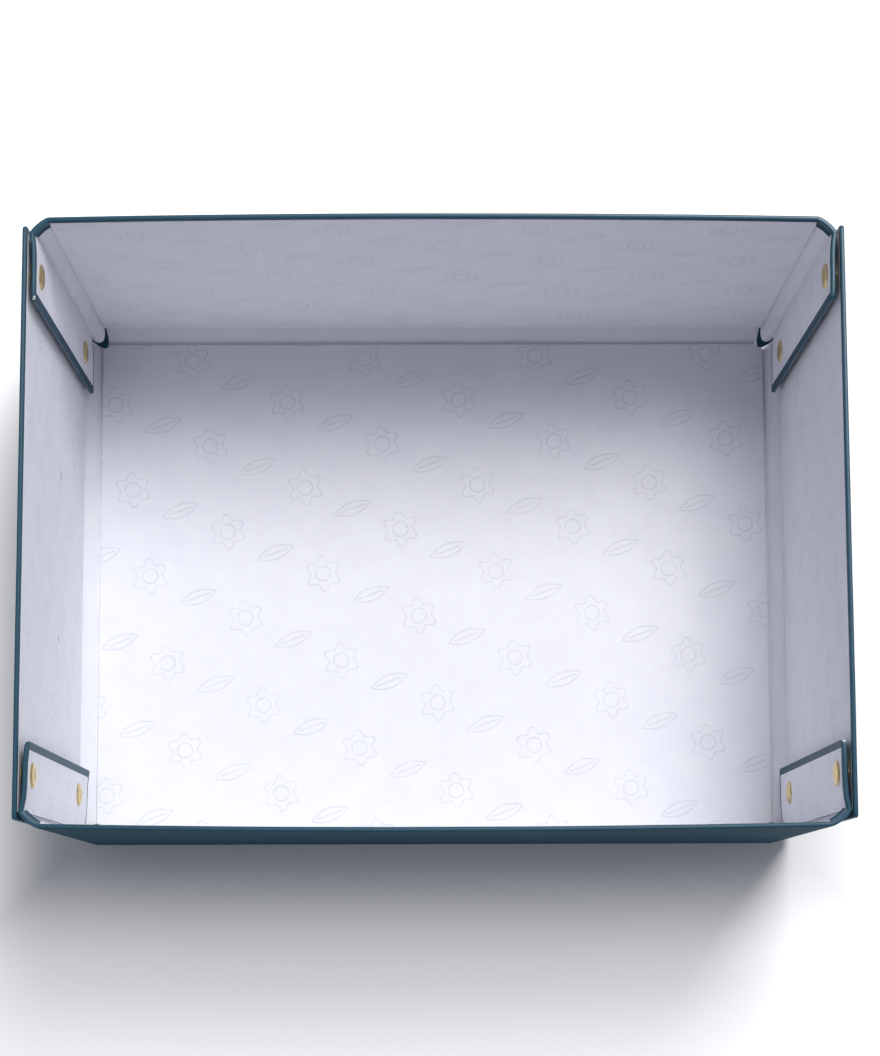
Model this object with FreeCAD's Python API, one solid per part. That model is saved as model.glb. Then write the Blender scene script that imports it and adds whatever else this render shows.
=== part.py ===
import FreeCAD, Part
import math
import os

from FreeCAD import Placement, Rotation, Vector

# Snap-together storage box of covered board: millimetres, +Z up, +X along the long walls.
# The origin is the middle of the base, on the table.

# Whole box, measured over its papers
box_length = 350.0
box_width = 260.0
box_height = 175.0

# Board, papers and turned-in edges
board = 1.6
cover_paper = 0.25
lining_paper = 0.25
rim_margin = 2.4        # cover paper left showing inside a rim, above the lining
side_margin = 3.5       # cover paper left showing inside the other free edges
corner_round = 2.2      # free corners of flaps and end walls, seen flat on

# Paper folds: rise and run of the slanting strip between two boards
long_fold_leg = 9.0
end_fold_leg = 9.5
corner_leg = 7.0

# End walls and corner flaps
end_wall_inset = 3.5    # side edge of an end wall to the outer face of the long wall
flap_length = 29.2
flap_lift = 1.0         # lower edge of a flap above the lower edge of its long wall
flap_gap = 2.0          # corner flap to end wall, bridged by the press studs

# Places of the press studs on a flap
stud_place_share = 0.54  # share of the flap's length, from its fold
stud_below_rim = 12.0
low_stud_height = 40.0

# Press studs; their hidden necks, shanks, holes and chambers are eight-sided
stud_sides = 8
cap_radius = 5.4
cap_height = 1.1
cap_rim_share = 0.4      # share of the cap's height that is upright rim
cap_crown_share = 0.76   # share of its radius that is flat crown
shank_radius = 1.2
shank_clearance = 0.1
socket_radius = 4.8
socket_sheet = 0.25
face_clearance = 0.25    # socket to stud flange
stud_flange_radius = 4.6
stud_flange = 0.45
knob_radius = 2.1
neck_radius = 1.7
knob_clearance = 0.3
knob_skin = 0.3
spring_width = 0.4
post_head_radius = 4.8
post_head_height = 0.8

# Depth of the socket's chamber, shared out from the flap outwards
rivet_share = 0.20
tip_gap_share = 0.15
knob_head_share = 0.25
spring_gap_share = 0.05
spring_share = 0.35

# Two slits through the left end wall
slit_spacing = 76.0
slit_length = 3.7
slit_width = 2.0
slit_height = 78.0

cut_overrun = 1.0
quarter_turn = 90.0

# Sizes that follow from those above
panel = cover_paper + board + lining_paper
fold_ply = cover_paper + lining_paper
fold_cut = fold_ply * math.sqrt(2)
half_length = box_length / 2
half_width = box_width / 2
flap_reach = half_length - panel - flap_gap
half_long_wall = flap_reach - corner_leg
half_end_wall = half_width - end_wall_inset
base_half_length = half_length - end_fold_leg
base_half_width = half_width - long_fold_leg
flap_bottom = long_fold_leg + flap_lift
stud_from_wall = corner_leg + stud_place_share * flap_length
stud_heights = (low_stud_height, box_height - stud_below_rim)

# Depths in a press stud, from the flap's outer face towards the end wall
socket_height = flap_gap - face_clearance - stud_flange
chamber = socket_height - 2 * socket_sheet
rivet_top = socket_sheet + rivet_share * chamber
knob_tip = rivet_top + tip_gap_share * chamber
knob_back = knob_tip + knob_head_share * chamber
spring_low = knob_back + spring_gap_share * chamber
spring_high = spring_low + spring_share * chamber
flange_face = flap_gap - stud_flange
knob_cavity = knob_tip + knob_skin
post_seat = flap_gap + panel
shank_hole = shank_radius + shank_clearance
spring_inner = neck_radius + knob_clearance
spring_outer = spring_inner + spring_width
chamber_radius = (spring_outer * math.sqrt(2) + shank_clearance) / math.cos(math.pi / stud_sides)
socket_bore = knob_radius + knob_clearance

Z_AXIS = Vector(0, 0, 1)


def outline(x0, x1, z0, z1, rounds):
    """Rectangle in the XZ plane; rounds gives a radius for (x side, z side) corners."""
    corners = [(x0, z0, "low", "bottom"), (x1, z0, "high", "bottom"),
               (x1, z1, "high", "top"), (x0, z1, "low", "top")]
    middle = Vector((x0 + x1) / 2, 0, (z0 + z1) / 2)
    ends = []
    for index, (x, z, x_side, z_side) in enumerate(corners):
        radius = rounds.get((x_side, z_side), 0)
        inward = Vector(math.copysign(radius, middle.x - x), 0, math.copysign(radius, middle.z - z))
        on_x = Vector(x + inward.x, 0, z)
        on_z = Vector(x, 0, z + inward.z)
        start, stop = (on_z, on_x) if index % 2 == 0 else (on_x, on_z)
        hub = Vector(x, 0, z).add(inward)
        bulge = hub.sub(inward.multiply(math.sqrt(0.5)))
        ends.append((start, bulge, stop, radius))
    edges = []
    for index, (start, bulge, stop, radius) in enumerate(ends):
        if radius > 0:
            edges.append(Part.Arc(start, bulge, stop).toShape())
        edges.append(Part.LineSegment(stop, ends[(index + 1) % len(ends)][0]).toShape())
    return Part.Face(Part.Wire(edges))


def sheet(x0, x1, z0, z1, y0, y1, rounds):
    """Flat ply standing in XZ, from depth y0 to y1."""
    ply = outline(x0, x1, z0, z1, rounds).extrude(Vector(0, y1 - y0, 0))
    ply.translate(Vector(0, y0, 0))
    return ply


def panel_plies(x0, x1, z0, z1, free, holes=(), slits=()):
    """Board, cover and lining of an upright panel: outer face at y = 0, inside towards +y."""
    turned = [(x, z) for x in ("low", "high") for z in ("bottom", "top") if x in free and z in free]

    def inset(step, top_step):
        low = x0 + (step if "low" in free else 0)
        high = x1 - (step if "high" in free else 0)
        bottom = z0 + (step if "bottom" in free else 0)
        top = z1 - (top_step if "top" in free else 0)
        return low, high, bottom, top

    def rounds(step):
        radius = corner_round - step
        return {corner: radius for corner in turned} if radius > 0 else {}

    envelope = sheet(x0, x1, z0, z1, 0, panel, rounds(0))
    core = sheet(*inset(cover_paper, cover_paper), cover_paper, cover_paper + board,
                 rounds(cover_paper))
    lining = sheet(*inset(side_margin, rim_margin), cover_paper + board, panel, {})
    cover = envelope.cut(core).cut(lining)
    hole = flat_sided(shank_hole, -panel - cut_overrun, cut_overrun)
    tools = [at_stud(hole, place, 0) for place in holes]
    for x, z in slits:
        low, high = x - slit_length / 2, x + slit_length / 2
        bottom, top = z - slit_width / 2, z + slit_width / 2
        tools.append(sheet(low, high, bottom, top, -cut_overrun, panel + cut_overrun, {}))
    plies = {"board": core, "cover": cover, "lining": lining}
    for tool in tools:
        plies = {name: ply.cut(tool) for name, ply in plies.items()}
    return plies


def prism(points, along):
    """Closed polygon extruded along a vector."""
    return Part.Face(Part.makePolygon(points + points[:1])).extrude(along)


def bottom_fold(half_span, leg):
    """Slanting paper strip between the base's edge and a wall's lower edge."""
    points = [Vector(-half_span, leg, 0), Vector(-half_span, 0, leg),
              Vector(-half_span, fold_cut, leg), Vector(-half_span, leg, fold_cut)]
    return prism(points, Vector(2 * half_span, 0, 0))


def corner_fold(side):
    """Slanting paper strip between the end of a long wall and its corner flap."""
    wall, flap = side * half_long_wall, side * flap_reach
    points = [Vector(wall, 0, flap_bottom), Vector(flap, corner_leg, flap_bottom),
              Vector(flap - side * fold_cut, corner_leg, flap_bottom),
              Vector(wall, fold_cut, flap_bottom)]
    return prism(points, Vector(0, 0, box_height - flap_bottom))


def round_bar(radius, low, high):
    """Cylinder about Z between two depths."""
    return Part.makeCylinder(radius, high - low, Vector(0, 0, low))


def flat_sided(radius, low, high):
    """Prism about Z between two depths, measured over its corners."""
    turns = [(corner + 0.5) * 2 * math.pi / stud_sides for corner in range(stud_sides)]
    points = [Vector(radius * math.cos(turn), radius * math.sin(turn), low) for turn in turns]
    return prism(points, Vector(0, 0, high - low))


def stud_cap():
    """Crowned cap on the flap's inner face, with the shank riveted over in the socket."""
    rim = cap_height * cap_rim_share
    crown = Part.makeCone(cap_radius * cap_crown_share, cap_radius, cap_height - rim,
                          Vector(0, 0, -panel - cap_height))
    return crown.fuse([round_bar(cap_radius, -panel - rim, -panel),
                       flat_sided(shank_radius, -panel, rivet_top)]).removeSplitter()


def stud_socket():
    """Socket on the flap's outer face, hollow for the spring and the knob."""
    mouth = socket_height - socket_sheet
    return round_bar(socket_radius, 0, socket_height).cut([
        flat_sided(shank_hole, -cut_overrun, socket_height),
        flat_sided(chamber_radius, socket_sheet, mouth),
        round_bar(socket_bore, mouth, socket_height + cut_overrun)])


def stud_spring():
    """Hairpin spring behind the knob's head: two legs and the bridge between them."""
    points = [Vector(x, y, spring_low) for x, y in (
        (-spring_outer, -spring_outer), (spring_outer, -spring_outer),
        (spring_outer, -spring_inner), (-spring_inner, -spring_inner),
        (-spring_inner, spring_inner), (spring_outer, spring_inner),
        (spring_outer, spring_outer), (-spring_outer, spring_outer))]
    return prism(points, Vector(0, 0, spring_high - spring_low))


def stud():
    """Flange and undercut knob on the end wall's inner face, hollow for the post."""
    head = Part.makeCone(knob_radius, neck_radius, knob_back - knob_tip, Vector(0, 0, knob_tip))
    solid = head.fuse([flat_sided(neck_radius, knob_back, flange_face),
                       round_bar(stud_flange_radius, flange_face, flap_gap)])
    return solid.cut(flat_sided(shank_hole, knob_cavity, flap_gap + cut_overrun)).removeSplitter()


def stud_post():
    """Rivet through the end wall, its flat head outside."""
    head = round_bar(post_head_radius, post_seat, post_seat + post_head_height)
    return head.fuse(flat_sided(shank_radius, knob_cavity, post_seat))


def at_stud(shape, place, flap_face):
    """Copy of a stud piece at x and z, its depth axis pointing out of the box."""
    copy = shape.copy()
    turn = Rotation(Vector(1, 0, 0), quarter_turn)
    copy.Placement = Placement(Vector(place[0], flap_face, place[1]), turn)
    return copy


def at_studs(shape, places, flap_face):
    """Copies of a stud piece at several places, as one group."""
    return Part.makeCompound([at_stud(shape, place, flap_face) for place in places])


def turned_place(x, y, quarters):
    """Place of a panel: moved to x, y and turned about Z by quarter turns."""
    return Placement(Vector(x, y, 0), Rotation(Z_AXIS, quarters * quarter_turn))


def put(shape, place):
    """Shape moved by a place, on top of its own."""
    moved = shape.copy()
    moved.Placement = place.multiply(moved.Placement)
    return moved


def base_parts():
    """Base plies, cover paper underneath."""
    levels = {"base_cover": (0, cover_paper), "base_board": (cover_paper, cover_paper + board),
              "base_lining": (cover_paper + board, panel)}
    corner = Vector(-base_half_length, -base_half_width, 0)
    return {name: Part.makeBox(2 * base_half_length, 2 * base_half_width, high - low,
                               corner.add(Vector(0, 0, low)))
            for name, (low, high) in levels.items()}


def long_wall_parts(name, place, corners):
    """A long wall with its folds and its two corner flaps; corners name its ends by side."""
    plies = panel_plies(-half_long_wall, half_long_wall, long_fold_leg, box_height, {"top"})
    parts = {f"{name}_wall_{ply}": put(shape, place) for ply, shape in plies.items()}
    parts[f"{name}_bottom_fold"] = put(bottom_fold(half_long_wall, long_fold_leg), place)
    for side, corner in corners.items():
        parts[f"{corner}_corner_fold"] = put(corner_fold(side), place)
        flap_place = place.multiply(turned_place(side * flap_reach, 0, side))
        parts.update(flap_parts(corner, side, flap_place))
    return parts


def flap_parts(corner, side, place):
    """A corner flap with the socket halves of its press studs."""
    x0, x1 = sorted((side * corner_leg, side * (corner_leg + flap_length)))
    free = {"top", "bottom", "high" if side > 0 else "low"}
    places = [(side * stud_from_wall, height) for height in stud_heights]
    plies = panel_plies(x0, x1, flap_bottom, box_height, free, holes=places)
    parts = {f"{corner}_flap_{ply}": put(shape, place) for ply, shape in plies.items()}
    pieces = {"caps": stud_cap(), "sockets": stud_socket(), "springs": stud_spring()}
    for kind, shape in pieces.items():
        parts[f"{corner}_stud_{kind}"] = put(at_studs(shape, places, 0), place)
    return parts


def end_wall_parts(name, place, slits):
    """An end wall with the knob halves of the press studs."""
    stud_x = half_width - stud_from_wall
    places = [(x, height) for x in (-stud_x, stud_x) for height in stud_heights]
    plies = panel_plies(-half_end_wall, half_end_wall, end_fold_leg, box_height,
                        {"top", "low", "high"}, holes=places, slits=slits)
    parts = {f"{name}_end_{ply}": put(shape, place) for ply, shape in plies.items()}
    parts[f"{name}_bottom_fold"] = put(bottom_fold(base_half_width, end_fold_leg), place)
    flap_face = panel + flap_gap
    parts[f"{name}_end_studs"] = put(at_studs(stud(), places, flap_face), place)
    parts[f"{name}_end_stud_posts"] = put(at_studs(stud_post(), places, flap_face), place)
    return parts


def box_parts():
    """Every piece of the box, by name."""
    slits = [(side * slit_spacing / 2, slit_height) for side in (-1, 1)]
    parts = base_parts()
    parts.update(long_wall_parts("front", turned_place(0, -half_width, 0),
                                 {-1: "front_left", 1: "front_right"}))
    parts.update(long_wall_parts("back", turned_place(0, half_width, 2),
                                 {-1: "back_right", 1: "back_left"}))
    parts.update(end_wall_parts("left", turned_place(-half_length, 0, -1), slits))
    parts.update(end_wall_parts("right", turned_place(half_length, 0, 1), ()))
    return parts


os.makedirs("parts", exist_ok=True)
for node, shape in box_parts().items():
    shape.exportStep(os.path.join("parts", f"{node}.step"))
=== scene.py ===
import math

import bmesh
import bpy
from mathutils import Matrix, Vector, noise


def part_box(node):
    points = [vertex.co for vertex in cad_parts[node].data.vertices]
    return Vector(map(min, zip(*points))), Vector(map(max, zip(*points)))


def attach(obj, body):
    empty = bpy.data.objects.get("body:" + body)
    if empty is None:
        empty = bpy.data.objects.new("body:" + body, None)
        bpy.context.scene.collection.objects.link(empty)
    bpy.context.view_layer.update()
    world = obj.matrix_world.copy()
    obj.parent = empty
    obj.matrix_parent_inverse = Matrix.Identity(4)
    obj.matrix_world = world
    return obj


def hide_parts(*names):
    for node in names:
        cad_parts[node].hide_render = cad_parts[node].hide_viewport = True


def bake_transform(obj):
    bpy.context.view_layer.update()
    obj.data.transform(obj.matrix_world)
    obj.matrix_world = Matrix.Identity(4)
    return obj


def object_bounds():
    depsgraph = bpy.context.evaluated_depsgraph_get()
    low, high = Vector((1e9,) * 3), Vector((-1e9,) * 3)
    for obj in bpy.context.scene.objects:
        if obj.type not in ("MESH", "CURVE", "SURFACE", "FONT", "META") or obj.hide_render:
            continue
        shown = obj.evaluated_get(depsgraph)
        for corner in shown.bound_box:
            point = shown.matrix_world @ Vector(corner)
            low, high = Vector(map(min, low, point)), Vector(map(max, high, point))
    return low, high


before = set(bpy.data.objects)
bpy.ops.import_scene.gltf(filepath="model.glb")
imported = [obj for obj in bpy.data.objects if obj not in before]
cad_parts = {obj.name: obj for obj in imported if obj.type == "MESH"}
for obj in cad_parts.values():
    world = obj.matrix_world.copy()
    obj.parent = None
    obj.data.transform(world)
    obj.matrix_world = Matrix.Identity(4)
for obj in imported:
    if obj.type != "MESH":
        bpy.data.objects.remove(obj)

cad_low, cad_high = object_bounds()

X = Vector((1, 0, 0))
Y = Vector((0, 1, 0))
Z = Vector((0, 0, 1))

CORNERS = ("front_left", "front_right", "back_left", "back_right")
EDGES = ("bottom", "high", "top", "low")

# Sizes read from the frame, in metres
wall_low, wall_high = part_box("front_wall_cover")
lining_low, lining_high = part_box("front_wall_lining")
cap_low, cap_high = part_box("front_left_stud_caps")
flap_low, flap_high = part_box("front_left_flap_cover")
end_low, end_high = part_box("left_end_cover")
panel = wall_high.y - wall_low.y
paper = lining_high.y - lining_low.y
fold_ply = 2 * paper
cap_radius = (cap_high.y - cap_low.y) / 2

# Papers on the boards
edge_round = 0.0006      # paper wrapped round a free board edge
board_inset = 0.00095    # board short of the paper at its free edges
corner_round = 0.0022    # free corners, seen flat on
corner_steps = 5
edge_steps = 4
turned_under = 0.006     # cover paper turned in, partly under the lining
lining_step = 0.00013    # lining above the turned-in cover paper
band_gloss_and_painted_light = 0.45       # gloss and painted rim light of the turned-in cover paper, as a share of a rim's
cell = 0.006             # spacing of the points on a sheet
weld = 1e-6
paper_crease = 50        # degrees past which an edge of paper is shaded sharp
brass_crease = 32
wear_reach = 0.005       # size of a worn corner
wear_limit = 1.25        # wear plus noise past which the paper is scuffed white

# How far the panels stand from flat
wall_bow = {"front": 0.0018, "back": 0.0016}  # at the middle of their rims
flap_flare = {"front": 0.0015, "back": 0.0010}
flap_curl = {"front_left": 0.0011, "front_right": 0.0003, "back_left": 0.0001, "back_right": 0.0006}
bow_power = 1.5          # the bow grows towards the rim
flap_power = 3           # flare and curl grow away from the studs
ripple = 0.00007
ripple_waves = 34        # per metre
fold_ripple_scale = 3    # ripples on a fold are this much finer
ripple_fade = 0.012      # ripples die out this far from a fold

# Paper folds
fold_pull = 0.26         # how far a fold runs on straight before it turns
fold_steps = 20
shoulder = 0.0011        # width of the step down from a board to its fold
patch = 0.0044           # turned-in cover paper at the top of a corner fold
patch_swell = 0.0013     # how far its lower edge stands off
fold_drop = 0.0008       # how far a corner fold hangs below its flap
tongue = 0.0066          # how far the tongue at its foot hangs below that
tongue_spread = 0.8      # width of the tongue, in half turns of a sine across the fold
tongue_rise = 0.02       # height over which the fold widens into it
tongue_curl = 0.0085     # how far its tip leans in towards the corner of the base
lean_power = 1.4         # the lean is largest towards the flap
painted_shade_hem = 0.0034             # turned-in cover paper at its foot, dark inside as painted shade standing in for the shaded hole at the corner
end_fold_flare = 0.0014  # how much an end fold widens towards its wall, at each end

# Press studs
stud_segments = 48
shank_radius = 0.0012
knob_radius = 0.0021
neck_radius = 0.0017
socket_bore = 0.0024
socket_chamber = 0.0037
socket_sheet = 0.00025
stud_flange = 0.00045
post_head = 0.0008

# Printed motif on the lining
motif_pitch = 0.052      # along a row
motif_row = 0.036        # from row to row
motif_slant = 24         # degrees
motif_radius = 0.0088
motif_line = 0.0005      # half the width of a line
line_core_share = 0.4    # share of that width that prints full
motif_ink = 0.5          # strength of the print
petals = 6
petal_share = 0.16       # depth of the petals
eye_share = 0.42         # radius of the ring inside them
leaf_reach = 0.0095      # half the length of a leaf
leaf_width = 0.0032      # half its width
vein_share = 0.65        # length of its vein

# Slits through the left end wall
slit_spacing = 0.076
slit_length = 0.0037
slit_width = 0.0020
slit_height = 0.078

# Colours
# Cover teal: the face tones are darkened as painted shade, and the rim tone is lighter as painted light on
# the rims
teal_shaded_face_dark = (0.0180, 0.057, 0.086)
teal_shaded_face_pale = (0.0205, 0.063, 0.094)
teal_rim_painted_light = (0.028, 0.088, 0.134)
scuff_white = (0.74, 0.76, 0.78)
lining_dark = (0.785, 0.790, 0.850)
lining_light = (0.835, 0.842, 0.892)
print_grey = (0.36, 0.37, 0.42)
board_dark = (0.20, 0.185, 0.16)
board_light = (0.36, 0.34, 0.30)
brass_dark = (0.60, 0.45, 0.20)
brass_light = (0.78, 0.63, 0.33)
floor_white = (0.90, 0.90, 0.91)
key_white = (1.0, 0.995, 0.985)
sky_blue = (0.84, 0.86, 1.0)

# Floor
floor_reach = 12
floor_drop = 0.0002      # below the box's underside
glow_fade = 0.06         # distance from the box over which the floor's glow rises
glow_beside = 0.02
glow_open = 0.40

# Light
key_place = (0.42, 0.80, 1.75)
key_target = (0, 0, 0.05)
key_size = (0.8, 0.85)
key_power = 35
haze_top = 0.15          # upward part of the direction where the pale horizon ends
sky_start = 0.5          # and where the darker sky starts
haze_strength = 0.62
sky_strength = 0.2

# Camera
camera_lens = 75.55      # millimetres
camera_sensor = 36       # millimetres
camera_shift = 0.15
camera_near = 0.01
camera_place = (-0.0031, -0.1753, 1.0904)
camera_turns = (6.47, -0.32, -0.14)  # degrees about X, Y and Z


def smoothstep(share):
    """Smooth rise from 0 to 1."""
    share = min(max(share, 0), 1)
    return share * share * (3 - 2 * share)


# Pieces and meshes


def make_piece(name, points, faces, materials):
    """New mesh piece with its materials, in the row frame."""
    mesh = bpy.data.meshes.new(name)
    mesh.from_pydata(points, [], faces)
    for material in materials:
        mesh.materials.append(material)
    piece = bpy.data.objects.new(name, mesh)
    bpy.context.scene.collection.objects.link(piece)
    return piece


def clean(piece, facing=None):
    """Welds a mesh and turns its faces outwards, or its largest face along facing."""
    shape = bmesh.new()
    shape.from_mesh(piece.data)
    bmesh.ops.remove_doubles(shape, verts=shape.verts, dist=weld)
    bmesh.ops.dissolve_degenerate(shape, edges=shape.edges, dist=weld)
    bmesh.ops.recalc_face_normals(shape, faces=shape.faces)
    if facing:
        largest = max(shape.faces, key=lambda face: face.calc_area())
        if largest.normal.dot(facing) < 0:
            bmesh.ops.reverse_faces(shape, faces=shape.faces)
    shape.to_mesh(piece.data)
    shape.free()


def freeze(piece):
    """Makes a piece's modifiers part of its mesh."""
    graph = bpy.context.evaluated_depsgraph_get()
    mesh = bpy.data.meshes.new_from_object(piece.evaluated_get(graph))
    piece.modifiers.clear()
    piece.data = mesh


def thicken(piece, thickness):
    """Turns a sheet into a thin solid, away from the side its faces look to."""
    ply = piece.modifiers.new("ply", "SOLIDIFY")
    ply.thickness = thickness
    ply.offset = -1
    freeze(piece)


def smooth(piece, angle):
    """Smooth shading but across edges sharper than the angle."""
    mesh = piece.data
    mesh.polygons.foreach_set("use_smooth", [True] * len(mesh.polygons))
    mesh.set_sharp_from_angle(angle=math.radians(angle))


def lay_uv(piece, along, up):
    """Flat coordinates in metres on a sheet, for what is printed on it."""
    mesh = piece.data
    layer = mesh.uv_layers.new(name="sheet")
    for loop in mesh.loops:
        place = mesh.vertices[loop.vertex_index].co
        layer.data[loop.index].uv = (along.dot(place), up.dot(place))


def stand_for(piece, body, slot, *nodes):
    """The piece rides on a body and takes the place of its nodes."""
    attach(piece, body)
    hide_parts(*nodes)


# Panels


class Panel:
    """A covered board: u along it, v up it, depth from its outer face into the box."""

    def __init__(self, name, along, up, inward, free, bend):
        low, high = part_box(f"{name}_cover")
        self.name = name
        self.along = along
        self.up = up
        self.inward = inward
        self.free = free
        self.bend = bend
        self.u0, self.u1 = sorted((along.dot(low), along.dot(high)))
        self.v0, self.v1 = sorted((up.dot(low), up.dot(high)))
        self.face = min(inward.dot(low), inward.dot(high))
        self.columns = math.ceil((self.u1 - self.u0) / cell)
        self.rows = math.ceil((self.v1 - self.v0) / cell)

    def from_folds(self, u, v):
        """Distance from the nearest edge that isn't free."""
        reach = {"low": u - self.u0, "high": self.u1 - u, "bottom": v - self.v0, "top": self.v1 - v}
        return min(reach[edge] for edge in EDGES if edge not in self.free)

    def point(self, u, v, depth):
        """Place of a point, bent outwards with the panel."""
        wave = noise.noise(Vector((u, v, self.face)) * ripple_waves)
        fade = smoothstep(self.from_folds(u, v) / ripple_fade)
        out = self.bend(u, v) + ripple * wave * fade
        return self.along * u + self.up * v + self.inward * (self.face + depth - out)

    def drawn_in(self, inset):
        """Edges of the panel, drawn in by inset where they are free."""
        steps = {edge: inset if edge in self.free else 0 for edge in EDGES}
        return (self.u0 + steps["low"], self.u1 - steps["high"],
                self.v0 + steps["bottom"], self.v1 - steps["top"])

    def outline(self, inset):
        """Points round the drawn-in panel, each with the edge that starts from it or None."""
        u0, u1, v0, v1 = self.drawn_in(inset)
        corners = ((u0, v0), (u1, v0), (u1, v1), (u0, v1))
        middle = Vector(((u0 + u1) / 2, (v0 + v1) / 2))
        arcs = []
        for index, corner in enumerate(corners):
            both = {EDGES[index], EDGES[index - 1]} <= self.free
            radius = max(corner_round - inset, 0) if both else 0
            hub = Vector([at + math.copysign(radius, mid - at) for at, mid in zip(corner, middle)])
            turns = [math.pi + math.pi / 2 * (index + step / corner_steps)
                     for step in range(corner_steps + 1)]
            arcs.append([hub + radius * Vector((math.cos(turn), math.sin(turn))) for turn in turns])
        points = []
        for index, arc in enumerate(arcs):
            stop = arcs[(index + 1) % len(arcs)][0]
            parts = self.rows if index % 2 else self.columns
            points += [(point, None) for point in arc[:-1]]
            points += [(arc[-1].lerp(stop, part / parts), EDGES[index]) for part in range(parts)]
        return points


def no_bend(u, v):
    """A flat panel."""
    return 0


def wall_bend(side):
    """A long wall leans out at the middle of its rim."""

    def bend(u, v):
        climb = (v - wall_low.z) / (wall_high.z - wall_low.z)
        return wall_bow[side] * (1 - (u / wall_high.x) ** 2) * max(climb, 0) ** bow_power

    return bend


def flap_bend(corner):
    """A flap flares out at its fold, is flat at its studs and curls in at its free end."""
    fold = abs(flap_low.y)
    free = abs(flap_high.y)
    stud = abs(cap_low.y + cap_high.y) / 2
    flare = flap_flare[corner.split("_")[0]]
    curl = flap_curl[corner]

    def bend(u, v):
        place = abs(u)
        if place > stud:
            return flare * ((place - stud) / (fold - stud)) ** flap_power
        return -curl * ((stud - place) / (stud - free)) ** flap_power

    return bend


def grid_faces(columns, rows, first=0):
    """Quads of a grid of points counted along its rows."""
    faces = []
    for row in range(rows):
        for column in range(columns):
            corner = first + row * (columns + 1) + column
            faces.append((corner, corner + 1, corner + columns + 2, corner + columns + 1))
    return faces


def grid_points(covered, edges, depth):
    """Points of a sheet on a panel, between the edges u0, u1, v0, v1."""
    u0, u1, v0, v1 = edges
    points = []
    for row in range(covered.rows + 1):
        v = v0 + (v1 - v0) * row / covered.rows
        for column in range(covered.columns + 1):
            u = u0 + (u1 - u0) * column / covered.columns
            points.append(covered.point(u, v, depth))
    return points


def cover_rings():
    """Steps of the cover paper from the outer face round a free edge: (inset, depth)."""
    back = panel - lining_step
    rings = [(corner_round, 0), (edge_round, 0)]
    turns = [math.pi / 2 * step / edge_steps for step in range(1, edge_steps + 1)]
    for turn in turns:
        rings.append((edge_round * (1 - math.sin(turn)), edge_round * (1 - math.cos(turn))))
    for turn in turns:
        rings.append((edge_round * (1 - math.cos(turn)), back - edge_round * (1 - math.sin(turn))))
    rings.append((turned_under, back))
    return rings


def mark(piece, name, measure):
    """Keeps a number for each point of a piece, for its material."""
    marks = piece.data.attributes.new(name, "FLOAT", "POINT")
    for vertex, value in zip(piece.data.vertices, marks.data):
        value.value = measure(vertex.co)


def mark_cover(piece, covered, spots):
    """Marks where a cover is worn, and its turned-in edges, which handling has polished and which are
    painted lighter as painted light.
    """

    def wear(place):
        return max([1 - (place - spot).length / reach for spot, reach in spots] + [0])

    # Rim measure: drives the gloss and the lighter painted rim colour (painted light); the turned-in band
    # takes a lower share, so it is painted less light than the rim
    def polish(place):
        bend = covered.bend(covered.along.dot(place), covered.up.dot(place))
        depth = covered.inward.dot(place) - covered.face + bend
        return min(max(depth / edge_round, 0), 1) if depth < panel / 2 else band_gloss_and_painted_light

    mark(piece, "wear", wear)
    mark(piece, "polish", polish)


def cover_piece(covered, material, spots):
    """Cover paper wrapped round the free edges of a panel."""
    loops = [[(covered.point(*place, depth), edge) for place, edge in covered.outline(inset)]
             for inset, depth in cover_rings()]
    count = len(loops[0])
    points = [point for loop in loops for point, edge in loop]
    faces = []
    for ring in range(len(loops) - 1):
        for index in range(count):
            edge = loops[ring][index][1]
            if edge is None or edge in covered.free:
                ahead = (index + 1) % count
                faces.append((ring * count + index, ring * count + ahead,
                              (ring + 1) * count + ahead, (ring + 1) * count + index))
    first = len(points)
    points += grid_points(covered, covered.drawn_in(corner_round), 0)
    faces += grid_faces(covered.columns, covered.rows, first)
    piece = make_piece(f"{covered.name}_cover_paper", points, faces, [material])
    clean(piece, -covered.inward)
    thicken(piece, paper)
    lay_uv(piece, covered.along, covered.up)
    mark_cover(piece, covered, spots)
    smooth(piece, paper_crease)
    stand_for(piece, covered.name, "cover_paper", f"{covered.name}_cover")
    return piece


def sheet_piece(covered, name, edges, depth, thickness, material):
    """A flat ply between the edges u0, u1, v0, v1, bent with its panel."""
    points = grid_points(covered, edges, depth)
    faces = grid_faces(covered.columns, covered.rows)
    piece = make_piece(name, points, faces, [material])
    clean(piece, covered.inward)
    thicken(piece, thickness)
    lay_uv(piece, covered.along, covered.up)
    smooth(piece, paper_crease)
    return piece


def lining_piece(covered, material):
    """Lining paper, as wide and high as its node."""
    node = f"{covered.name}_lining"
    low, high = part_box(node)
    across = sorted((covered.along.dot(low), covered.along.dot(high)))
    upward = sorted((covered.up.dot(low), covered.up.dot(high)))
    edges = (*across, *upward)
    piece = sheet_piece(covered, f"{node}_paper", edges, panel, lining_step, material)
    stand_for(piece, covered.name, "lining_paper", node)
    return piece


def board_piece(covered, material):
    """Board inside the wrapped paper, clear of its rounded edges."""
    node = f"{covered.name}_board"
    edges = covered.drawn_in(board_inset)
    piece = sheet_piece(covered, f"{node}_core", edges, panel - paper, panel - fold_ply, material)
    stand_for(piece, covered.name, "greyboard", node)
    return piece


# Folds


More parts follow.
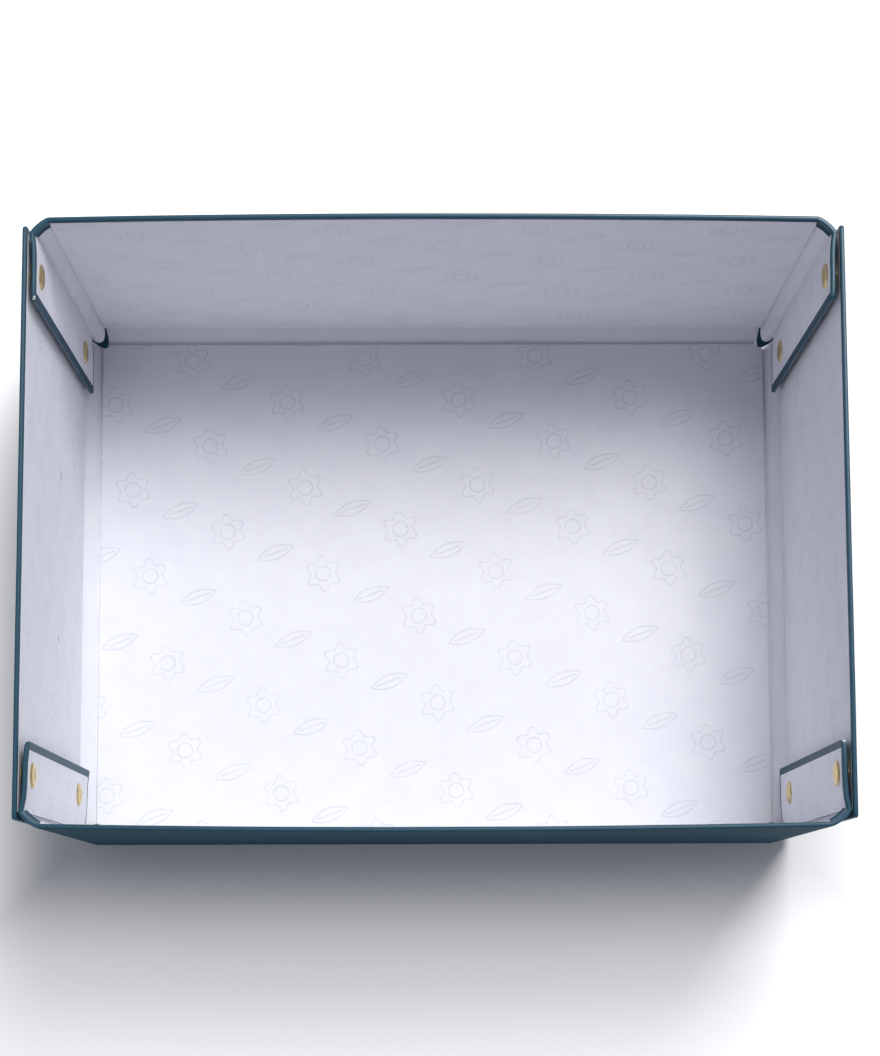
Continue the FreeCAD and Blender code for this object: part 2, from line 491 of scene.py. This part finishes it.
class Fold:
    """A paper strip between panels a and b, drawn as (distance in from b, distance in from a)."""

    def __init__(self, along, a, b, leg_a, leg_b, taper=1, hang=None):
        self.along = along
        self.taper = taper
        self.hang = hang
        self.a_inward, self.a_face = a
        self.b_inward, self.b_face = b
        self.leg_a = leg_a
        self.leg_b = leg_b

    def point(self, place, travel):
        """Place in the row frame of a point drawn across the fold, some way along it."""
        across = self.b_inward * (self.b_face + place.x) + self.a_inward * (self.a_face + place.y)
        return across + self.along * travel

    def ends(self):
        """Where the strip leaves panel a and where it meets panel b."""
        return self.point(Vector((self.leg_a, 0)), 0), self.point(Vector((0, self.leg_b)), 0)

    def sections(self):
        """Shares across the outer side, each with its point, inward normal and shoulder."""
        start = Vector((self.leg_a, 0))
        stop = Vector((0, self.leg_b))
        leave = start * (1 - fold_pull)
        meet = stop * (1 - fold_pull)
        length = (stop - start).length
        found = []
        for step in range(fold_steps + 1):
            share = (1 - math.cos(math.pi * step / fold_steps)) / 2
            rest = 1 - share
            place = (start * rest ** 3 + leave * 3 * rest ** 2 * share
                     + meet * 3 * rest * share ** 2 + stop * share ** 3)
            run = ((leave - start) * rest ** 2 + (meet - leave) * 2 * rest * share
                   + (stop - meet) * share ** 2)
            normal = Vector((run.y, -run.x)).normalized()
            edge = min(share, rest) * length
            found.append((share, place, normal, 1 - smoothstep(edge / shoulder)))
        return found

    def loop(self, row):
        """Closed loop round the strip at a row: outer side from a to b, inner side back."""
        travel, turn, depth, core = row
        outer = []
        inner = []
        for share, place, normal, step in self.sections():
            half = (core + (depth - core) * step) / 2
            radius = min(edge_round, half)
            narrow = half
            level = travel * (1 + (self.taper - 1) * share)
            curl = Vector((0, 0))
            if self.hang is not None:
                near = max(1 - (travel - self.hang) / tongue_rise, 0)
                level -= tongue * near * math.sin(tongue_spread * math.pi * share)
                lean = tongue_curl * near ** 2 * math.sin(math.pi * share ** lean_power)
                curl = Vector((lean, lean)) * math.sqrt(0.5)
            if turn is not None:
                narrow = half - radius * (1 - math.cos(turn))
                level = travel - radius * (1 - math.sin(turn))
            wave = noise.noise(Vector((self.b_face, self.a_face, level)) * fold_ripple_scale * ripple_waves)
            middle = place + curl + normal * (half + ripple * wave * (1 - step))
            outer.append(self.point(middle - normal * narrow, level))
            inner.append(self.point(middle + normal * narrow, level))
        return outer + inner[::-1]


def fold_piece(name, strip, rows, materials):
    """Closed strip through rows of (travel, turn, depth, core); cover outside, lining inside.

    Depth is the strip's thickness at the boards and core its thickness between them; a row
    with a turn lies on the rounding of the top edge.
    """
    loops = [strip.loop(row) for row in rows]
    count = len(loops[0])
    half = count // 2
    points = [point for loop in loops for point in loop]
    faces = []
    kinds = []
    for ring in range(len(loops) - 1):
        lined = rows[ring][2] == panel and rows[ring + 1][2] == panel
        for index in range(count):
            ahead = (index + 1) % count
            faces.append((ring * count + index, ring * count + ahead,
                          (ring + 1) * count + ahead, (ring + 1) * count + index))
            kinds.append(1 if lined and half <= index < count - 1 else 0)
    for ring in (0, len(loops) - 1):
        first = ring * count
        for index in range(half - 1):
            faces.append((first + index, first + index + 1,
                          first + count - 2 - index, first + count - 1 - index))
            kinds.append(0)
    piece = make_piece(name, points, faces, materials)
    piece.data.polygons.foreach_set("material_index", kinds)
    clean(piece)
    smooth(piece, paper_crease)
    return piece


def spread(low, high):
    """Places from low to high, about a cell apart."""
    count = math.ceil((high - low) / cell)
    return [low + (high - low) * step / count for step in range(count + 1)]


def bottom_fold(side, wall, along, materials):
    """Fold between the base and a wall."""
    base_low, base_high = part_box("base_cover")
    edge = min(wall.inward.dot(base_low), wall.inward.dot(base_high))
    reach = along.dot(base_high)
    taper = min(wall.u1, reach + end_fold_flare) / reach
    strip = Fold(along, (Z, 0), (wall.inward, wall.face), edge - wall.face, wall.v0, taper)
    rows = [(travel, None, panel, fold_ply) for travel in spread(-reach, reach)]
    piece = fold_piece(f"{side}_bottom_fold_paper", strip, rows, materials)
    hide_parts(f"{side}_bottom_fold")
    strip.ends()
    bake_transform(piece)


def corner_fold(corner, wall, flap, materials):
    """Fold between a long wall and a corner flap, with cover paper turned in at top and foot; the dark
    paper inside the foot is painted shade over the hole at the corner.
    """
    low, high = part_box(f"{corner}_corner_fold")
    fold_u = max((flap.u0, flap.u1), key=abs)
    flap_face = flap.face - flap.bend(fold_u, flap.v1)
    wall_end = min(flap.inward.dot(wall.along * end) for end in (wall.u0, wall.u1))
    hang = low.z - fold_drop
    strip = Fold(Z, (wall.inward, wall.face), (flap.inward, flap_face),
                 wall_end - flap_face, abs(wall.face) - abs(fold_u), hang=hang)
    border = high.z - patch
    bare = panel - lining_step
    # The lowest rows are dark cover paper inside: painted shade over the hole at the corner
    rows = [(hang, None, bare, fold_ply), (hang + painted_shade_hem, None, bare, fold_ply)]
    rows += [(travel, None, panel, fold_ply) for travel in spread(hang + painted_shade_hem, border)]
    rows.append((border, None, bare, bare + patch_swell))
    rows.append((high.z - edge_round, None, bare, bare))
    for step in range(edge_steps + 1):
        rows.append((high.z, math.pi / 2 * step / edge_steps, bare, bare))
    piece = fold_piece(f"{corner}_corner_fold_paper", strip, rows, materials)
    # The top rim is marked for gloss and for the lighter painted rim colour (painted light)
    mark(piece, "polish", lambda place: 1 if place.z > high.z - 2 * edge_round else 0)
    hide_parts(f"{corner}_corner_fold")
    strip.ends()
    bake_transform(piece)


# Press studs


def turned(name, node, body, section, places, outward, material):
    """Solids turned from a closed section of (radius, depth along outward), at several places."""
    points = []
    faces = []
    count = len(section)
    for place in places:
        first = len(points)
        for segment in range(stud_segments):
            turn = 2 * math.pi * segment / stud_segments
            spoke = Y * math.cos(turn) + Z * math.sin(turn)
            points += [place + outward * depth + spoke * radius for radius, depth in section]
        for segment in range(stud_segments):
            here = first + segment * count
            there = first + (segment + 1) % stud_segments * count
            for index in range(count):
                ahead = (index + 1) % count
                faces.append((here + index, here + ahead, there + ahead, there + index))
    piece = make_piece(name, points, faces, [material])
    clean(piece)
    smooth(piece, brass_crease)
    stand_for(piece, body, "brass", node)


def cap_section(reach):
    """Cap seen inside the box: rolled ring, dished middle, and its shank through the flap."""
    seat = -panel
    height = cap_high.x - flap_high.x
    ring_shares = ((0, 0.34), (0.30, 0.34), (0.40, 0.42), (0.50, 0.68), (0.60, 0.92), (0.70, 1.0),
                   (0.80, 0.97), (0.90, 0.82), (0.97, 0.55), (1.0, 0.25), (0.99, 0))
    face = [(cap_radius * wide, seat - height * high) for wide, high in ring_shares]
    return face + [(shank_radius, seat), (shank_radius, reach), (0, reach)]


def socket_section(radius, height):
    """Socket on the outer side of the flap, hollow for the spring and the knob."""
    rim_shares = ((0.86, 1), (0.96, 0.86), (1, 0.6), (1, 0.1), (0.98, 0))
    outside = [(radius * wide, height * high) for wide, high in rim_shares]
    inside = [(shank_radius, 0), (shank_radius, socket_sheet), (socket_chamber, socket_sheet),
              (socket_chamber, height - socket_sheet), (socket_bore, height - socket_sheet)]
    return [(socket_bore, height)] + outside + inside


def knob_section(tip, radius, seat):
    """Stud on the end wall: flange, waisted neck and knob."""
    length = seat - stud_flange - tip
    knob_shares = ((0, 0), (0.8, 0), (1, 0.14))
    flange_shares = ((0.9, 1), (1, 0.6), (1, 0), (0, 0))
    neck_share = 0.34
    knob = [(knob_radius * wide, tip + length * deep) for wide, deep in knob_shares]
    neck = [(neck_radius, tip + length * neck_share), (neck_radius, seat - stud_flange)]
    flange = [(radius * wide, seat - stud_flange * high) for wide, high in flange_shares]
    return knob + neck + flange


def post_section(start, seat, radius):
    """Rivet through the end wall, its low domed head outside."""
    head_shares = ((1, 0), (1, 0.4), (0.93, 0.8), (0.75, 1), (0, 1))
    head = [(radius * wide, seat + post_head * high) for wide, high in head_shares]
    return [(0, start), (shank_radius, start), (shank_radius, seat)] + head


def span_x(node):
    """Nearest and farthest distance of a node from the middle of the box, along X."""
    low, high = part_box(node)
    return sorted((abs(low.x), abs(high.x)))


def stud_places(corner, flap_face):
    """Centres of a flap's press studs, on its outer face."""
    low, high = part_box(f"{corner}_stud_caps")
    y = (low.y + high.y) / 2
    side = -1 if corner.endswith("left") else 1
    return [Vector((side * flap_face, y, z)) for z in (low.z + cap_radius, high.z - cap_radius)]


def press_studs(material):
    """Caps and sockets on the flaps, studs and posts on the end walls."""
    flap_face = abs(flap_low.x)
    for side, outward in (("left", -X), ("right", X)):
        on_end = []
        for corner in (f"front_{side}", f"back_{side}"):
            places = stud_places(corner, flap_face)
            on_end += places
            rivet = span_x(f"{corner}_stud_caps")[1] - flap_face
            turned(f"{corner}_stud_cap_turnings", f"{corner}_stud_caps", f"{corner}_flap",
                   cap_section(rivet), places, outward, material)
            low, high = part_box(f"{corner}_stud_sockets")
            turned(f"{corner}_stud_socket_turnings", f"{corner}_stud_sockets", f"{corner}_flap",
                   socket_section((high.y - low.y) / 2, high.x - low.x), places, outward, material)
        low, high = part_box(f"{side}_end_studs")
        flange_radius = high.y - abs(places[0].y)
        near, far = span_x(f"{side}_end_studs")
        turned(f"{side}_end_stud_turnings", f"{side}_end_studs", f"{side}_end",
               knob_section(near - flap_face, flange_radius, far - flap_face),
               on_end, outward, material)
        low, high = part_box(f"{side}_end_stud_posts")
        near, far = span_x(f"{side}_end_stud_posts")
        turned(f"{side}_end_post_turnings", f"{side}_end_stud_posts", f"{side}_end",
               post_section(near - flap_face, far - post_head - flap_face, high.y - abs(places[0].y)),
               on_end, outward, material)


# Materials


def new_material(name):
    """Empty material: its node tree and its principled shader."""
    material = bpy.data.materials.new(name)
    material.use_nodes = True
    return material, material.node_tree, material.node_tree.nodes["Principled BSDF"]


def maths(tree, operation, *values):
    """Math node on sockets or numbers."""
    node = tree.nodes.new("ShaderNodeMath")
    node.operation = operation
    for socket, value in zip(node.inputs, values):
        if isinstance(value, (int, float)):
            socket.default_value = value
        else:
            tree.links.new(value, socket)
    return node.outputs["Value"]


def noise_field(tree, scale, detail, rough=0.5):
    """Noise through the object's own space."""
    place = tree.nodes.new("ShaderNodeTexCoord")
    field = tree.nodes.new("ShaderNodeTexNoise")
    field.inputs["Scale"].default_value = scale
    field.inputs["Detail"].default_value = detail
    field.inputs["Roughness"].default_value = rough
    tree.links.new(place.outputs["Object"], field.inputs["Vector"])
    return field.outputs["Fac"]


def ramp(tree, factor, *stops):
    """Colour ramp with stops of (place, colour)."""
    node = tree.nodes.new("ShaderNodeValToRGB")
    elements = node.color_ramp.elements
    while len(elements) < len(stops):
        elements.new(0.5)
    for element, (place, colour) in zip(elements, stops):
        element.position = place
        element.color = (*colour, 1)
    tree.links.new(factor, node.inputs["Fac"])
    return node.outputs["Color"]


def rise(tree, value, start, stop, low, high):
    """Smooth change from low to high as a value goes from start to stop."""
    node = tree.nodes.new("ShaderNodeMapRange")
    node.interpolation_type = "SMOOTHSTEP"
    node.inputs["From Min"].default_value = start
    node.inputs["From Max"].default_value = stop
    node.inputs["To Min"].default_value = low
    node.inputs["To Max"].default_value = high
    tree.links.new(value, node.inputs["Value"])
    return node.outputs["Result"]


def marked(tree, name):
    """Number kept for the points of a piece."""
    node = tree.nodes.new("ShaderNodeAttribute")
    node.attribute_name = name
    return node.outputs["Fac"]


def blend_colour(tree, factor, first, second):
    """Mix of two colours by a factor; each is a socket or a fixed colour."""
    node = tree.nodes.new("ShaderNodeMix")
    node.data_type = "RGBA"
    tree.links.new(factor, node.inputs["Factor"])
    sockets = [socket for socket in node.inputs if socket.type == "RGBA"]
    for socket, colour in zip(sockets, (first, second)):
        if isinstance(colour, tuple):
            socket.default_value = (*colour, 1)
        else:
            tree.links.new(colour, socket)
    return [socket for socket in node.outputs if socket.type == "RGBA"][0]


def bump(tree, shader, height, distance, strength):
    """Fine relief on a shader."""
    node = tree.nodes.new("ShaderNodeBump")
    node.inputs["Distance"].default_value = distance
    node.inputs["Strength"].default_value = strength
    tree.links.new(height, node.inputs["Height"])
    tree.links.new(node.outputs["Normal"], shader.inputs["Normal"])


def cover_material():
    """Dark teal paper, glossier at its polished edges, which are painted lighter than the faces as painted
    light while the faces are darkened as painted shade, and scuffed white where it is worn.
    """
    material, tree, shader = new_material("cover_paper_teal")
    mottle = noise_field(tree, scale=55, detail=4)
    face = ramp(tree, mottle, (0.3, teal_shaded_face_dark), (0.7, teal_shaded_face_pale))
    polish = marked(tree, "polish")
    # Painted light: the rims take a lighter teal than the faces, whose teal is darkened as painted shade
    tone = blend_colour(tree, polish, face, teal_rim_painted_light)
    fibres = noise_field(tree, scale=800, detail=5, rough=0.7)
    torn = maths(tree, "ADD", marked(tree, "wear"), fibres)
    scuff = maths(tree, "GREATER_THAN", torn, wear_limit)
    colour = blend_colour(tree, scuff, tone, scuff_white)
    roughness = rise(tree, polish, start=0, stop=1, low=0.60, high=0.28)
    gloss = rise(tree, polish, start=0, stop=1, low=0.012, high=0.28)
    tree.links.new(colour, shader.inputs["Base Color"])
    tree.links.new(roughness, shader.inputs["Roughness"])
    tree.links.new(gloss, shader.inputs["Specular IOR Level"])
    grain = noise_field(tree, scale=1500, detail=3)
    bump(tree, shader, grain, distance=0.00012, strength=0.25)
    return material


def cell_place(tree, split, slide):
    """Place from the middle of a half-drop cell; slide moves the cells along their rows."""
    row = maths(tree, "DIVIDE", split.outputs["Y"], motif_row)
    odd = maths(tree, "FLOORED_MODULO", maths(tree, "FLOOR", row), 2)
    drop = maths(tree, "MULTIPLY_ADD", odd, 0.5, slide)
    column = maths(tree, "ADD", maths(tree, "DIVIDE", split.outputs["X"], motif_pitch), drop)
    x = maths(tree, "MULTIPLY", maths(tree, "SUBTRACT", maths(tree, "FRACT", column), 0.5), motif_pitch)
    y = maths(tree, "MULTIPLY", maths(tree, "SUBTRACT", maths(tree, "FRACT", row), 0.5), motif_row)
    return x, y


def rosette(tree, x, y):
    """Distance from the lines of a six-petalled rosette."""
    square = maths(tree, "ADD", maths(tree, "MULTIPLY", x, x), maths(tree, "MULTIPLY", y, y))
    radius = maths(tree, "SQRT", square)
    angle = maths(tree, "MULTIPLY", maths(tree, "ARCTAN2", y, x), petals)
    wave = maths(tree, "MULTIPLY_ADD", maths(tree, "COSINE", angle), petal_share, 1 - petal_share)
    edge = maths(tree, "MULTIPLY", wave, motif_radius)
    petal = maths(tree, "ABSOLUTE", maths(tree, "SUBTRACT", radius, edge))
    ring = maths(tree, "ABSOLUTE", maths(tree, "SUBTRACT", radius, eye_share * motif_radius))
    return maths(tree, "MINIMUM", petal, ring)


def leaf(tree, x, y):
    """Distance from the lines of a slanting leaf."""
    along = maths(tree, "MULTIPLY", maths(tree, "ADD", x, y), math.sqrt(0.5))
    across = maths(tree, "MULTIPLY", maths(tree, "SUBTRACT", y, x), math.sqrt(0.5))
    off = maths(tree, "ABSOLUTE", across)
    share = maths(tree, "DIVIDE", along, leaf_reach)
    taper = maths(tree, "SUBTRACT", 1, maths(tree, "MULTIPLY", share, share))
    edge = maths(tree, "MULTIPLY", taper, leaf_width)
    side = maths(tree, "ABSOLUTE", maths(tree, "SUBTRACT", off, edge))
    past = maths(tree, "SUBTRACT", maths(tree, "ABSOLUTE", along), vein_share * leaf_reach)
    return maths(tree, "MINIMUM", side, maths(tree, "MAXIMUM", off, past))


def motif(tree):
    """Faint rosettes and leaves in half-drop rows, as a mask over the flat sheet."""
    flat = tree.nodes.new("ShaderNodeUVMap")
    flat.uv_map = "sheet"
    split = tree.nodes.new("ShaderNodeSeparateXYZ")
    turn = tree.nodes.new("ShaderNodeMapping")
    turn.inputs["Rotation"].default_value = (0, 0, math.radians(motif_slant))
    tree.links.new(flat.outputs["UV"], turn.inputs["Vector"])
    tree.links.new(turn.outputs["Vector"], split.inputs["Vector"])
    nearest = maths(tree, "MINIMUM", rosette(tree, *cell_place(tree, split, 0)),
                    leaf(tree, *cell_place(tree, split, 0.5)))
    return rise(tree, nearest, start=line_core_share * motif_line, stop=motif_line, low=1, high=0)


def lining_material(name, printed):
    """White paper with a lavender cast, printed or plain."""
    material, tree, shader = new_material(name)
    mottle = noise_field(tree, scale=70, detail=5, rough=0.65)
    tone = ramp(tree, mottle, (0.25, lining_dark), (0.75, lining_light))
    if printed:
        ink = maths(tree, "MULTIPLY", noise_field(tree, scale=160, detail=3), motif_ink)
        worn = maths(tree, "MULTIPLY", motif(tree), ink)
        tone = blend_colour(tree, worn, tone, print_grey)
    tree.links.new(tone, shader.inputs["Base Color"])
    shader.inputs["Roughness"].default_value = 0.72
    shader.inputs["Specular IOR Level"].default_value = 0.3
    grain = noise_field(tree, scale=700, detail=4, rough=0.6)
    bump(tree, shader, grain, distance=0.0002, strength=0.22)
    return material


def board_material():
    """Greyboard with flecks."""
    material, tree, shader = new_material("greyboard_core")
    flecks = noise_field(tree, scale=900, detail=4, rough=0.7)
    tone = ramp(tree, flecks, (0.35, board_dark), (0.7, board_light))
    tree.links.new(tone, shader.inputs["Base Color"])
    shader.inputs["Roughness"].default_value = 0.9
    return material


def brass_material():
    """Pale brass, a little dulled."""
    material, tree, shader = new_material("stud_brass")
    tarnish = noise_field(tree, scale=300, detail=3)
    tone = ramp(tree, tarnish, (0.3, brass_dark), (0.75, brass_light))
    tree.links.new(tone, shader.inputs["Base Color"])
    shader.inputs["Metallic"].default_value = 1
    shader.inputs["Roughness"].default_value = 0.30
    return material


def paint_node(name, material):
    """Material on a CAD node that is carried over."""
    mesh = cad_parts[name].data
    mesh.materials.clear()
    mesh.materials.append(material)


# The box


def cut_slits(piece):
    """The two slits through the left end wall."""
    cut_depth = 4 * panel
    for side in (-1, 1):
        tool = bpy.data.objects.new("slit", bpy.data.meshes.new("slit"))
        shape = bmesh.new()
        bmesh.ops.create_cube(shape, size=1)
        bmesh.ops.scale(shape, vec=(cut_depth, slit_length, slit_width), verts=shape.verts)
        place = Vector(((end_low.x + end_high.x) / 2, side * slit_spacing / 2, slit_height))
        bmesh.ops.translate(shape, vec=place, verts=shape.verts)
        shape.to_mesh(tool.data)
        shape.free()
        bpy.context.scene.collection.objects.link(tool)
        cut = piece.modifiers.new("slit", "BOOLEAN")
        cut.operation = "DIFFERENCE"
        cut.solver = "EXACT"
        cut.object = tool
        freeze(piece)
        bpy.data.objects.remove(tool)


def build_panels():
    """The base and the upright panels by name."""
    found = {"base": Panel("base", X, Y, Z, set(), no_bend)}
    for side, inward in (("front", Y), ("back", -Y)):
        name = f"{side}_wall"
        found[name] = Panel(name, X, Z, inward, {"top"}, wall_bend(side))
    for side, inward in (("left", X), ("right", -X)):
        name = f"{side}_end"
        found[name] = Panel(name, Y, Z, inward, {"top", "low", "high"}, no_bend)
    for corner in CORNERS:
        name = f"{corner}_flap"
        front, left = corner.startswith("front"), corner.endswith("left")
        free = {"top", "bottom", "high" if front else "low"}
        found[name] = Panel(name, Y, Z, X if left else -X, free, flap_bend(corner))
    return found


def worn_spots(panels):
    """Worn corners of the cover paper, by panel: (place, reach)."""
    spots = {}
    for corner in ("front_right", "back_left"):
        flap = panels[f"{corner}_flap"]
        free_u = min((flap.u0, flap.u1), key=abs)
        spots[flap.name] = [(flap.point(free_u, flap.v1, panel / 2), wear_reach)]
    return spots


def build_box():
    """Every visible piece of the box."""
    cover = cover_material()
    lining = lining_material("lining_paper_printed", True)
    fold_lining = lining_material("lining_paper_plain", False)
    greyboard = board_material()
    brass = brass_material()
    panels = build_panels()
    spots = worn_spots(panels)
    for name, covered in panels.items():
        pieces = [lining_piece(covered, lining)]
        if name != "base":
            pieces.append(cover_piece(covered, cover, spots.get(name, [])))
            pieces.append(board_piece(covered, greyboard))
        if name == "left_end":
            for piece in pieces:
                cut_slits(piece)
    folds = [cover, fold_lining]
    for side in ("front", "back"):
        bottom_fold(side, panels[f"{side}_wall"], X, folds)
    for side in ("left", "right"):
        bottom_fold(side, panels[f"{side}_end"], Y, folds)
    for corner in CORNERS:
        wall = panels[corner.split("_")[0] + "_wall"]
        corner_fold(corner, wall, panels[f"{corner}_flap"], folds)
    press_studs(brass)
    paint_node("base_cover", cover)
    paint_node("base_board", greyboard)
    for corner in CORNERS:
        paint_node(f"{corner}_stud_springs", brass)


# Stage, light and camera


def floor_glow(tree):
    """Glow that keeps the floor pale in the shadows, faint beside the box."""
    place = tree.nodes.new("ShaderNodeTexCoord")
    split = tree.nodes.new("ShaderNodeSeparateXYZ")
    tree.links.new(place.outputs["Object"], split.inputs["Vector"])
    past_end = maths(tree, "SUBTRACT", maths(tree, "ABSOLUTE", split.outputs["X"]), cad_high.x)
    past_side = maths(tree, "SUBTRACT", maths(tree, "ABSOLUTE", split.outputs["Y"]), cad_high.y)
    past = maths(tree, "MAXIMUM", past_end, past_side)
    return rise(tree, past, start=0, stop=glow_fade, low=glow_beside, high=glow_open)


def build_stage():
    """Plain pale floor."""
    signs = ((-1, -1), (1, -1), (1, 1), (-1, 1))
    corners = [(floor_reach * x, floor_reach * y, -floor_drop) for x, y in signs]
    material, tree, shader = new_material("floor_white")
    shader.inputs["Base Color"].default_value = (*floor_white, 1)
    shader.inputs["Roughness"].default_value = 0.9
    shader.inputs["Specular IOR Level"].default_value = 0.1
    shader.inputs["Emission Color"].default_value = (1, 1, 1, 1)
    tree.links.new(floor_glow(tree), shader.inputs["Emission Strength"])
    floor = make_piece("floor", corners, [(0, 1, 2, 3)], [material])


def area_light(name, place, target, size, energy, colour):
    """Soft oblong light turned to a target."""
    light = bpy.data.lights.new(name, "AREA")
    light.shape = "RECTANGLE"
    light.size, light.size_y = size
    light.energy = energy
    light.color = colour
    lamp = bpy.data.objects.new(name, light)
    lamp.location = place
    lamp.rotation_euler = (Vector(target) - Vector(place)).to_track_quat("-Z", "Y").to_euler()
    bpy.context.scene.collection.objects.link(lamp)


def build_light():
    """Large soft key overhead, behind and to the right, and a sky that pales to the horizon."""
    area_light("key", key_place, key_target, key_size, key_power, key_white)
    world = bpy.data.worlds.new("studio")
    world.use_nodes = True
    tree = world.node_tree
    sky = tree.nodes["Background"]
    sky.inputs["Color"].default_value = (*sky_blue, 1)
    way = tree.nodes.new("ShaderNodeTexCoord")
    split = tree.nodes.new("ShaderNodeSeparateXYZ")
    tree.links.new(way.outputs["Generated"], split.inputs["Vector"])
    strength = rise(tree, split.outputs["Z"], start=haze_top, stop=sky_start,
                    low=haze_strength, high=sky_strength)
    tree.links.new(strength, sky.inputs["Strength"])
    bpy.context.scene.world = world


def build_camera():
    """Camera above and a little in front of the box, as in the photo."""
    camera = bpy.data.cameras.new("camera")
    camera.lens = camera_lens
    camera.sensor_width = camera_sensor
    camera.shift_y = camera_shift
    camera.clip_start = camera_near
    seat = bpy.data.objects.new("camera", camera)
    seat.location = camera_place
    seat.rotation_mode = "ZYX"
    seat.rotation_euler = [math.radians(turn) for turn in camera_turns]
    bpy.context.scene.collection.objects.link(seat)
    bpy.context.scene.camera = seat


build_box()
build_stage()
build_light()
build_camera()
bpy.context.scene.view_settings.view_transform = "Standard"
